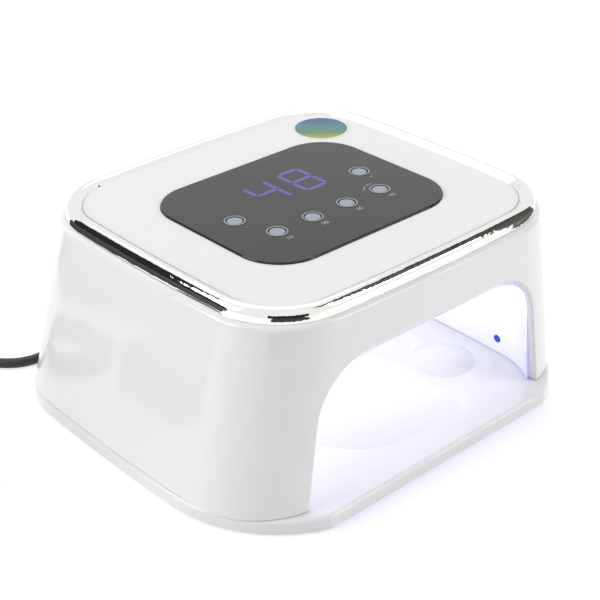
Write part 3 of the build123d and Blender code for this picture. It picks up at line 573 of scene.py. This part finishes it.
def make_sleeve_tree():
    """A tapering sleeve along Z with round ribs spaced along it."""
    tree = bpy.data.node_groups.new("ribbed sleeve", "GeometryNodeTree")
    ids = {"Geometry": socket(tree, "Geometry", "Geometry")}
    for label, kind, value in (("Length", "Float", 0.02), ("Thick Radius", "Float", 0.004),
                               ("Thin Radius", "Float", 0.003), ("Ribs", "Int", 7),
                               ("Rib Round", "Float", 0.0006), ("Finish", "Material", None)):
        ids[label] = socket(tree, label, kind, value)
    tree.interface.new_socket("Geometry", in_out="OUTPUT", socket_type="NodeSocketGeometry")
    inp = tree.nodes.new("NodeGroupInput")
    out = tree.nodes.new("NodeGroupOutput")
    body = add(tree, "GeometryNodeMeshCone", {"Vertices": 48, "Side Segments": 24})
    wire(tree, inp.outputs["Thin Radius"], body.inputs["Radius Top"])
    wire(tree, inp.outputs["Thick Radius"], body.inputs["Radius Bottom"])
    wire(tree, inp.outputs["Length"], body.inputs["Depth"])
    gap = math_node(tree, "DIVIDE", inp.outputs["Length"], math_node(tree, "ADD", inp.outputs["Ribs"], 1.0))
    row_start = add(tree, "ShaderNodeCombineXYZ")
    wire(tree, gap, row_start.inputs["Z"])
    row = add(tree, "GeometryNodeMeshLine")
    wire(tree, inp.outputs["Ribs"], row.inputs["Count"])
    wire(tree, row_start.outputs[0], row.inputs["Start Location"])
    wire(tree, row_start.outputs[0], row.inputs["Offset"])
    loop = add(tree, "GeometryNodeCurvePrimitiveCircle", {"Resolution": 48, "Radius": 1.0})
    section = add(tree, "GeometryNodeCurvePrimitiveCircle", {"Resolution": 12})
    wire(tree, math_node(tree, "DIVIDE", inp.outputs["Rib Round"], inp.outputs["Thick Radius"]),
         section.inputs["Radius"])
    rib = add(tree, "GeometryNodeCurveToMesh")
    wire(tree, loop.outputs["Curve"], rib.inputs["Curve"])
    wire(tree, section.outputs["Curve"], rib.inputs["Profile Curve"])
    number = tree.nodes.new("GeometryNodeInputIndex")
    share = math_node(tree, "DIVIDE", math_node(tree, "ADD", number.outputs[0], 1.0),
                      math_node(tree, "ADD", inp.outputs["Ribs"], 1.0))
    fall = math_node(tree, "SUBTRACT", inp.outputs["Thin Radius"], inp.outputs["Thick Radius"])
    size = math_node(tree, "ADD", inp.outputs["Thick Radius"], math_node(tree, "MULTIPLY", share, fall))
    scale = add(tree, "ShaderNodeCombineXYZ")
    for axis in "XYZ":
        wire(tree, size, scale.inputs[axis])
    ribs = add(tree, "GeometryNodeInstanceOnPoints")
    wire(tree, row.outputs["Mesh"], ribs.inputs["Points"])
    wire(tree, rib.outputs["Mesh"], ribs.inputs["Instance"])
    wire(tree, scale.outputs[0], ribs.inputs["Scale"])
    joined = tree.nodes.new("GeometryNodeJoinGeometry")
    wire(tree, body.outputs["Mesh"], joined.inputs[0])
    wire(tree, ribs.outputs["Instances"], joined.inputs[0])
    finish_tree(tree, inp, out, joined.outputs[0])
    return tree, ids


def finish_tree(tree, inp, out, source):
    """Ends a geometry tree in real geometry, smooth shading and its material."""
    real = tree.nodes.new("GeometryNodeRealizeInstances")
    wire(tree, source, real.inputs[0])
    smooth = tree.nodes.new("GeometryNodeSetShadeSmooth")
    wire(tree, real.outputs[0], smooth.inputs[0])
    paint = tree.nodes.new("GeometryNodeSetMaterial")
    wire(tree, smooth.outputs[0], paint.inputs["Geometry"])
    wire(tree, inp.outputs["Finish"], paint.inputs["Material"])
    wire(tree, paint.outputs[0], out.inputs[0])


def make_ridge_tree():
    """Round ridges lying across X in an even row along Y."""
    tree = bpy.data.node_groups.new("ridge row", "GeometryNodeTree")
    ids = {"Geometry": socket(tree, "Geometry", "Geometry")}
    for label, kind, value in (("Ridges", "Int", 5), ("Pitch", "Float", 0.002),
                               ("Ridge Length", "Float", 0.008), ("Ridge Round", "Float", 0.0005),
                               ("Finish", "Material", None)):
        ids[label] = socket(tree, label, kind, value)
    tree.interface.new_socket("Geometry", in_out="OUTPUT", socket_type="NodeSocketGeometry")
    inp = tree.nodes.new("NodeGroupInput")
    out = tree.nodes.new("NodeGroupOutput")
    step = add(tree, "ShaderNodeCombineXYZ")
    wire(tree, inp.outputs["Pitch"], step.inputs["Y"])
    row = add(tree, "GeometryNodeMeshLine")
    wire(tree, inp.outputs["Ridges"], row.inputs["Count"])
    wire(tree, step.outputs[0], row.inputs["Offset"])
    ridge = add(tree, "GeometryNodeMeshCylinder", {"Vertices": 16})
    wire(tree, inp.outputs["Ridge Round"], ridge.inputs["Radius"])
    wire(tree, inp.outputs["Ridge Length"], ridge.inputs["Depth"])
    lay = add(tree, "GeometryNodeInstanceOnPoints", {"Rotation": (0.0, math.pi / 2, 0.0)})
    wire(tree, row.outputs["Mesh"], lay.inputs["Points"])
    wire(tree, ridge.outputs["Mesh"], lay.inputs["Instance"])
    finish_tree(tree, inp, out, lay.outputs["Instances"])
    return tree, ids


def grown(name, made, values, place):
    """A plain mesh from a geometry tree, set in its place."""
    tree, ids = made
    seed = bpy.data.objects.new(name, bpy.data.meshes.new(name))
    modifier = seed.modifiers.new("grow", "NODES")
    modifier.node_group = tree
    for label, value in values.items():
        modifier[ids[label]] = value
    scene.collection.objects.link(seed)
    bpy.context.view_layer.update()
    mesh = bpy.data.meshes.new_from_object(seed.evaluated_get(bpy.context.evaluated_depsgraph_get()))
    seed.modifiers.remove(modifier)
    bpy.data.objects.remove(seed)
    mesh.transform(place)
    return mesh


sleeve_tree = make_sleeve_tree()
ridge_tree = make_ridge_tree()


def ribbed_sleeve(node, axis, ribs):
    """Replaces a tapering relief by one with ribs. axis points from its thick end to its thin end."""
    low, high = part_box(node)
    middle = (low + high) / 2
    along = Vector(axis)
    length = abs((high - low).dot(along))
    across = (high.z - low.z) / 2
    thin = cord_diameter / 2 + 0.15 * mm
    round_by = 0.45 * mm
    facing = along.to_track_quat("Z", "Y").to_matrix().to_4x4()
    place = Matrix.Translation(middle - along * length / 2) @ facing
    mesh = grown(node + "_ribbed", sleeve_tree, {
        "Length": length, "Thick Radius": across - round_by, "Thin Radius": thin, "Ribs": ribs,
        "Rib Round": round_by, "Finish": relief_rubber,
    }, place)
    obj = piece(node + "_ribbed", mesh, relief_rubber)
    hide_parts(node)
    return obj


plug_sleeve = ribbed_sleeve("plug_relief", (-1, 0, 0), 8)
adaptor_sleeve = ribbed_sleeve("adaptor_relief", (0, 1, 0), 8)


def grip_ridges():
    """A row of finger ridges on the plug's grip."""
    low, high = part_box("dc_plug")
    count = 5
    pitch = 1.7 * mm
    back = 1.2 * mm
    from_end = 13 * mm
    sunk = 0.15 * mm
    turn = Matrix.Rotation(math.radians(90), 4, "Z")
    start = Vector((low.x + from_end, (relief_low.y + relief_high.y) / 2, high.z - sunk))
    mesh = grown("grip_ridges", ridge_tree, {
        "Ridges": count, "Pitch": pitch, "Ridge Length": high.z - low.z - 2 * back,
        "Ridge Round": 0.5 * mm, "Finish": plug_black,
    }, Matrix.Translation(start) @ turn)
    return piece("grip_ridges", mesh, plug_black)


ridges = grip_ridges()


def tie_strap():
    """The strap round the coil: a soft band with its end lapped over itself."""
    turn = math.radians(118)
    width = 8 * mm
    thick = 0.5 * mm
    play = 0.35 * mm
    half_wide = 1.5 * cord_diameter + play
    low = thick + 0.02 * mm             # so that the band's underside stays above the floor
    high = 2 * cord_diameter + play + 0.2 * mm
    corner = 2.2 * mm
    corners = [(half_wide - corner, low + corner, -90), (half_wide - corner, high - corner, 0),
               (-half_wide + corner, high - corner, 90), (-half_wide + corner, low + corner, 180)]
    path = []
    for x, z, start in corners:
        for k in range(7):
            angle = math.radians(start + 90 * k / 6)
            path.append((x + corner * math.cos(angle), z + corner * math.sin(angle),
                         (math.cos(angle), math.sin(angle))))
    lap = [(x + nx * thick, z + nz * thick, (nx, nz)) for x, z, (nx, nz) in path[5:16]]
    form = bmesh.new()
    for line, closed in ((path, True), (lap, False)):
        rings = []
        for x, z, (nx, nz) in line:
            ring = []
            for side, out_by in ((-0.5, 0.0), (0.5, 0.0), (0.5, thick), (-0.5, thick)):
                ring.append(form.verts.new((x + nx * out_by, side * width, z + nz * out_by)))
            rings.append(ring)
        pairs = list(zip(rings, rings[1:])) + ([(rings[-1], rings[0])] if closed else [])
        for a, b in pairs:
            for i in range(4):
                form.faces.new((a[i], a[(i + 1) % 4], b[(i + 1) % 4], b[i]))
        if not closed:
            form.faces.new(rings[0][::-1])
            form.faces.new(rings[-1])
    bmesh.ops.recalc_face_normals(form, faces=form.faces)
    mesh = bpy.data.meshes.new("tie_strap")
    form.to_mesh(mesh)
    form.free()
    centre = Vector((coil_centre[0] * mm, coil_centre[1] * mm, 0))
    mesh.transform(Matrix.Translation(centre) @ Matrix.Rotation(turn, 4, "Z")
                   @ Matrix.Translation((coil_mean_radius * mm, 0, 0)))
    obj = piece("tie_strap", mesh, strap)
    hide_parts("coil_tie")
    return obj


strap_piece = tie_strap()


def adaptor_body():
    """The adaptor's two moulded halves, with a parting groove round the middle."""
    low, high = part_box("adaptor")
    middle = (low + high) / 2
    half = (high - low) / 2
    corner = 5 * mm
    edge = 3 * mm
    groove = 0.5 * mm
    form = bmesh.new()
    edge_steps, corner_steps = 6, 8
    shares = [k / edge_steps for k in range(edge_steps + 1)]
    levels = [(share * edge, edge * (1 - math.sqrt(max(0.0, 1 - (1 - share) ** 2)))) for share in shares]
    levels += [(half.z - groove, 0.0), (half.z - groove / 2, groove), (half.z, groove)]
    levels += [(2 * half.z - height, inset) for height, inset in reversed(levels[:-1])]
    rings = []
    for height, inset in levels:
        ring = []
        for x, y, start in ((1, 1, 0), (-1, 1, 90), (-1, -1, 180), (1, -1, 270)):
            for k in range(corner_steps + 1):
                angle = math.radians(start + 90 * k / corner_steps)
                radius = corner - min(inset, corner * 0.8)
                ring.append(form.verts.new((
                    middle.x + x * (half.x - corner) + radius * math.cos(angle),
                    middle.y + y * (half.y - corner) + radius * math.sin(angle), low.z + height,
                )))
        rings.append(ring)
    for a, b in zip(rings, rings[1:]):
        for i in range(len(a)):
            form.faces.new((a[i], a[(i + 1) % len(a)], b[(i + 1) % len(a)], b[i]))
    form.faces.new(rings[0][::-1])
    form.faces.new(rings[-1])
    bmesh.ops.recalc_face_normals(form, faces=form.faces)
    mesh = bpy.data.meshes.new("adaptor_body")
    form.to_mesh(mesh)
    form.free()
    obj = piece("adaptor_body", mesh, plug_black)
    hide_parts("adaptor")
    return obj


adaptor_piece = adaptor_body()


# ---------------------------------------------------------------- stage, light and camera
def look_from(azimuth, elevation, distance, target, roll=0.0):
    """A camera matrix that looks at target from that angle, turned by roll about its axis."""
    az, el = math.radians(azimuth), math.radians(elevation)
    back = Vector((math.sin(az) * math.cos(el), -math.cos(az) * math.cos(el), math.sin(el)))
    right = Vector((math.cos(az), math.sin(az), 0))
    up = back.cross(right)
    turn = math.radians(roll)
    across = right * math.cos(turn) + up * math.sin(turn)
    above = up * math.cos(turn) - right * math.sin(turn)
    place = Vector(target) + back * distance
    return Matrix((
        (across.x, above.x, back.x, place.x),
        (across.y, above.y, back.y, place.y),
        (across.z, above.z, back.z, place.z),
        (0, 0, 0, 1),
    ))


camera_data = bpy.data.cameras.new("camera")
camera_data.sensor_width = 36.0
camera_data.lens = 85.74
camera_data.clip_start = 0.01
camera_data.clip_end = 20.0
camera = bpy.data.objects.new("camera", camera_data)
camera.matrix_world = look_from(-42.225, 29.488, 0.7018, (-0.00085, -0.0034, 0.04753), -0.448)
scene.collection.objects.link(camera)
scene.camera = camera


light_target = (0, 0, 0.05)


def area_light(name, place, size, power):
    """A soft box that faces the object."""
    light = bpy.data.lights.new(name, "AREA")
    light.shape = "RECTANGLE"
    light.size, light.size_y = size
    light.energy = power
    obj = bpy.data.objects.new(name, light)
    aim = Vector(place) - Vector(light_target)
    obj.matrix_world = Matrix.Translation(place) @ aim.to_track_quat("Z", "Y").to_matrix().to_4x4()
    scene.collection.objects.link(obj)


area_light("overhead softbox", (0.2, 0.5, 1.2), (1.2, 1.0), 4.0)
area_light("left softbox", (-1.25, 0.55, 0.7), (0.9, 0.8), 12.0)
area_light("front softbox", (0.95, -1.1, 0.75), (0.8, 0.8), 11.0)

card_distance = 1.6
card_middle_height = 0.08
sheet_lift = 0.4 * mm


def dark_card(name, around, height, mat):
    """A dark card on a sphere about the object, which only mirrors see. Angles are in degrees."""
    form = bmesh.new()
    across, up = 24, 10
    grid = []
    for i in range(across + 1):
        azimuth = math.radians(around[0] + (around[1] - around[0]) * i / across)
        column = []
        for j in range(up + 1):
            tilt = math.radians(height[0] + (height[1] - height[0]) * j / up)
            way = Vector((math.cos(azimuth) * math.cos(tilt), math.sin(azimuth) * math.cos(tilt),
                          math.sin(tilt)))
            column.append(form.verts.new(way * card_distance + Vector((0, 0, card_middle_height))))
        grid.append(column)
    for a, b in zip(grid, grid[1:]):
        for j in range(up):
            form.faces.new((a[j], a[j + 1], b[j + 1], b[j]))
    finish_card(name, form, mat)


def floor_card(name, around, reach, mat):
    """A dark sheet lying on the floor, which only mirrors see: a ring sector about the object."""
    form = bmesh.new()
    across = 24
    rings = []
    for i in range(across + 1):
        azimuth = math.radians(around[0] + (around[1] - around[0]) * i / across)
        way = Vector((math.cos(azimuth), math.sin(azimuth), 0))
        rings.append([form.verts.new(way * distance + Vector((0, 0, sheet_lift))) for distance in reach])
    for a, b in zip(rings, rings[1:]):
        form.faces.new((a[0], a[1], b[1], b[0]))
    finish_card(name, form, mat)


def finish_card(name, form, mat):
    """Makes a card that only mirrors see."""
    mesh = bpy.data.meshes.new(name)
    form.to_mesh(mesh)
    form.free()
    obj = bpy.data.objects.new(name, mesh)
    scene.collection.objects.link(obj)
    mesh.materials.append(mat)
    obj.visible_camera = False
    obj.visible_diffuse = False
    obj.visible_shadow = False
    obj.visible_transmission = False


card_black = moulded("black card", (0.012, 0.012, 0.013), 0.9, mottle=0.2, mottle_size=0.3)
card_grey = moulded("grey card", (0.13, 0.125, 0.12), 0.9, mottle=0.85, mottle_size=0.5)
dark_card("left card", (118, 160), (-3, 41), card_black)
floor_card("left sheet", (112, 165), (0.30, card_distance), card_black)
dark_card("right card", (-55, -8), (19, 51), card_grey)
dark_card("low right card", (-44, -8), (-3, 24), card_grey)
floor_card("right sheet", (-43, -8), (0.34, card_distance), card_grey)
dark_card("thin card", (-78, -52), (40, 51), card_black)
dark_card("camera side card", (214, 262), (-3, 13), card_black)
floor_card("camera side sheet", (218, 258), (0.38, card_distance), card_black)


def clear_rays(tree):
    """One for what the camera, a mirror or clear glass sees, and nought for light that spreads."""
    rays = add(tree, "ShaderNodeLightPath")
    first = add(tree, "ShaderNodeMath", operation="MAXIMUM")
    wire(tree, rays.outputs["Is Camera Ray"], first.inputs[0])
    wire(tree, rays.outputs["Is Glossy Ray"], first.inputs[1])
    both = add(tree, "ShaderNodeMath", operation="MAXIMUM")
    wire(tree, first.outputs[0], both.inputs[0])
    wire(tree, rays.outputs["Is Transmission Ray"], both.inputs[1])
    return both.outputs[0]


def studio_floor():
    """A pale floor that shows as white, with a faint violet spill of painted light in front of the mouth."""
    mesh = bpy.data.meshes.new("studio_floor")
    half = 6.0
    corners = [(-half, -half, 0), (half, -half, 0), (half, half, 0), (-half, half, 0)]
    mesh.from_pydata(corners, [], [(0, 1, 2, 3)])
    obj = bpy.data.objects.new("studio_floor", mesh)
    scene.collection.objects.link(obj)
    mat, tree, out = new_material("studio floor")
    # The violet band in front of the tray is painted light: the lamps' glow on the floor, laid into its
    # colour.
    tray_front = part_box("tray")[0].y
    spill_reach = 34 * mm
    spill_full, spill_gone = 55 * mm, 100 * mm      # to either side of the middle
    place = add(tree, "ShaderNodeTexCoord")
    parts = add(tree, "ShaderNodeSeparateXYZ")
    wire(tree, place.outputs["Object"], parts.inputs[0])
    near = add(tree, "ShaderNodeMapRange", {"From Min": tray_front - spill_reach, "From Max": tray_front},
               interpolation_type="SMOOTHSTEP")
    wire(tree, parts.outputs["Y"], near.inputs["Value"])
    side = add(tree, "ShaderNodeMath", operation="ABSOLUTE")
    wire(tree, parts.outputs["X"], side.inputs[0])
    between = add(tree, "ShaderNodeMapRange",
                  {"From Min": spill_full, "From Max": spill_gone, "To Min": 1.0, "To Max": 0.0},
                  interpolation_type="SMOOTHSTEP")
    wire(tree, side.outputs[0], between.inputs["Value"])
    front = add(tree, "ShaderNodeMapRange",
                {"From Min": 0.0, "From Max": 10 * mm, "To Min": 1.0, "To Max": 0.0})
    wire(tree, parts.outputs["Y"], front.inputs["Value"])
    band = add(tree, "ShaderNodeMath", operation="MULTIPLY")
    wire(tree, near.outputs["Result"], band.inputs[0])
    wire(tree, front.outputs["Result"], band.inputs[1])
    spill = add(tree, "ShaderNodeMath", operation="MULTIPLY")
    wire(tree, band.outputs[0], spill.inputs[0])
    wire(tree, between.outputs["Result"], spill.inputs[1])
    # Mixes the painted violet light into the floor colour.
    tint = add(tree, "ShaderNodeMix", data_type="RGBA")
    wire(tree, spill.outputs[0], tint.inputs[0])
    tint.inputs["A"].default_value = (1, 1, 1, 1)
    tint.inputs["B"].default_value = (0.86, 0.86, 0.985, 1)
    matte = add(tree, "ShaderNodeBsdfDiffuse", {"Color": (0.8, 0.8, 0.8, 1)})
    shown = add(tree, "ShaderNodeBsdfDiffuse")
    half_tone = add(tree, "ShaderNodeMix", {0: 1.0, "B": (0.45, 0.45, 0.45, 1)}, data_type="RGBA",
                    blend_type="MULTIPLY")
    wire(tree, tint.outputs["Result"], half_tone.inputs["A"])
    wire(tree, half_tone.outputs["Result"], shown.inputs["Color"])
    lit = add(tree, "ShaderNodeEmission", {"Strength": 0.68})
    wire(tree, tint.outputs["Result"], lit.inputs["Color"])
    both = add(tree, "ShaderNodeAddShader")
    wire(tree, shown.outputs[0], both.inputs[0])
    wire(tree, lit.outputs[0], both.inputs[1])
    seen = clear_rays(tree)
    pick = add(tree, "ShaderNodeMixShader")
    wire(tree, seen, pick.inputs[0])
    wire(tree, matte.outputs[0], pick.inputs[1])
    wire(tree, both.outputs[0], pick.inputs[2])
    wire(tree, pick.outputs[0], out.inputs["Surface"])
    mesh.materials.append(mat)


studio_floor()
world = bpy.data.worlds.new("studio")
scene.world = world
world.use_nodes = True
sky = world.node_tree
sky.nodes.clear()
sky_out = add(sky, "ShaderNodeOutputWorld")
ambient = add(sky, "ShaderNodeBackground", {"Color": (1, 1, 1, 1), "Strength": 0.52})
white = add(sky, "ShaderNodeBackground", {"Color": (1, 1, 1, 1), "Strength": 1.0})
sky_pick = add(sky, "ShaderNodeMixShader")
wire(sky, clear_rays(sky), sky_pick.inputs[0])
wire(sky, ambient.outputs[0], sky_pick.inputs[1])
wire(sky, white.outputs[0], sky_pick.inputs[2])
wire(sky, sky_pick.outputs[0], sky_out.inputs["Surface"])

scene.view_settings.view_transform = "Standard"
